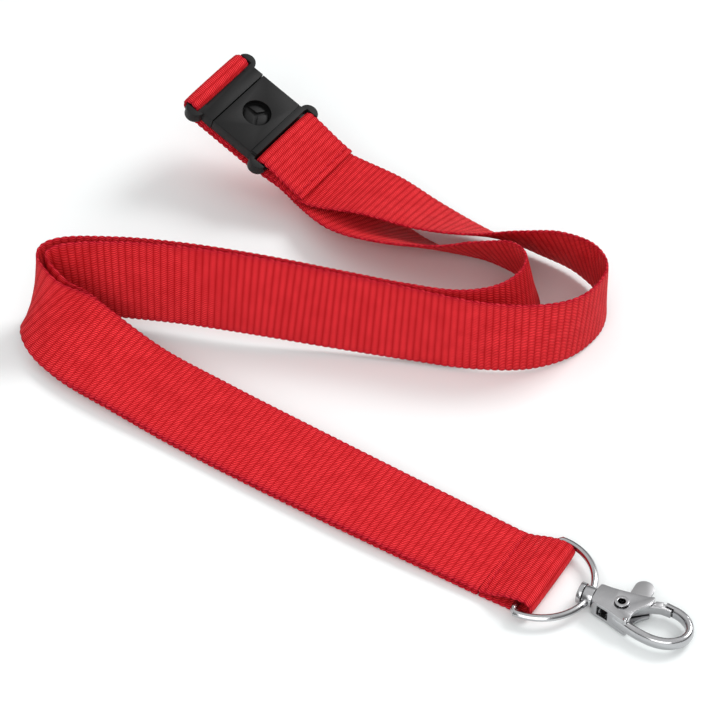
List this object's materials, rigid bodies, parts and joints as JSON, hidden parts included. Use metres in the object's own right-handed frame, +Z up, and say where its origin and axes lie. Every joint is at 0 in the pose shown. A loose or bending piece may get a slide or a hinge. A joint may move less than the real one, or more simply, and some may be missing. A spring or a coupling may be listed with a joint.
{
  "type": "lanyard",
  "caption": "Flat neck lanyard of ribbed red webbing, folded in two layers, with a breakaway side-slot buckle and a swivel trigger hook on a D-ring.",
  "frame": {"origin": "middle of the whole laid-out lanyard's outline, on the floor", "axes": "+Z up from the floor; +Y from the hook end towards the buckle end; +X towards the hook's side"},
  "size_m": [0.1834, 0.2152, 0.0325],
  "materials": {
    "webbing": "ribbed woven polyester, matt with a faint sheen",
    "thread": "sewn polyester thread",
    "buckle_plastic": "fine moulded texture",
    "nickel_plate": "bright nickel plate",
    "satin_steel": "satin nickel plate",
    "spring_steel": "bare spring steel"
  },
  "bodies": {
    "strap": {"hook_fold": "webbing", "hook_seam": "thread", "socket_flap": "webbing", "socket_seam": "thread", "buckle_socket": "buckle_plastic", "socket_strap_lower": "webbing", "socket_strap_bend": "webbing", "socket_strap_middle": "webbing", "socket_strap_turn": "webbing", "socket_strap_end": "webbing", "plug_strap_lower": "webbing", "plug_strap_bend": "webbing", "plug_strap_middle": "webbing", "plug_strap_turn": "webbing", "plug_strap_end": "webbing"},
    "plug": {"buckle_plug": "buckle_plastic", "plug_flap": "webbing", "plug_seam": "thread"},
    "ring": {"d_ring": "nickel_plate"},
    "hook": {"hook_frame": "nickel_plate", "swivel_rivet": "nickel_plate", "pivot_rivet": "nickel_plate", "trigger_spring": "spring_steel"},
    "trigger": {"trigger": "satin_steel"}
  },
  "joints": [
    {"name": "buckle_release", "type": "slide", "parent": "strap", "child": "plug", "axis": [-0.7595, 0.5318, 0.3746], "range_m": [0, 0.018]},
    {"name": "ring_swing", "type": "hinge", "parent": "strap", "child": "ring", "pos_m": [0.05223, -0.08272, 0.0031], "axis": [0.4772, 0.8788, 0], "range_deg": [-75, 75]},
    {"name": "hook_swivel", "type": "hinge", "parent": "ring", "child": "hook", "pos_m": [0.06726, -0.09088, 0.0031], "axis": [0.8788, -0.4772, 0], "continuous": true},
    {"name": "trigger_pivot", "type": "hinge", "parent": "hook", "child": "trigger", "pos_m": [0.07353, -0.09463, 0.0031], "axis": [0, 0, -1], "range_deg": [0, 22], "stiffness_Nm_per_rad": 0.03, "springref_deg": -11.46}
  ]
}
